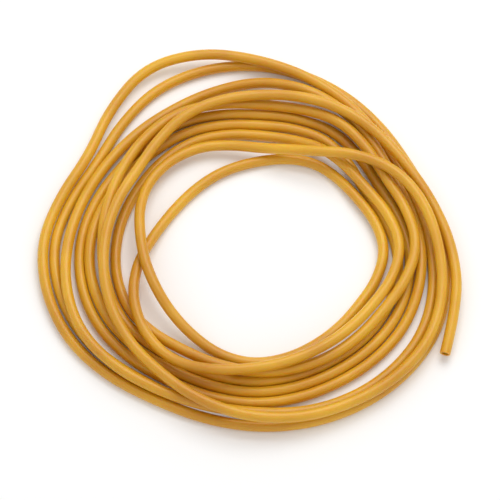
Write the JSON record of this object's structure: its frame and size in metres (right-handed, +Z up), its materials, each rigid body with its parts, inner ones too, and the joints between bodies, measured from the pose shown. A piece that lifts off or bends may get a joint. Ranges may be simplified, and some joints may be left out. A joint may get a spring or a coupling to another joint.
{
  "type": "rubber tubing coil",
  "caption": "Loose hand-wound coil of amber latex laboratory tubing: one plain round hollow tube with square-cut ends, for joining glassware, taps and burners.",
  "frame": {"origin": "on the surface that the coil lies on, under the middle of the coil's box", "axes": "+Z up from that surface; -Y is the side of the coil nearest to the viewer in the picture, and +X is its right, where the free end lies"},
  "size_m": [0.2379, 0.236, 0.0223],
  "materials": {
    "latex": "satin"
  },
  "bodies": {
    "root": {"tubing": "latex"}
  },
  "joints": []
}
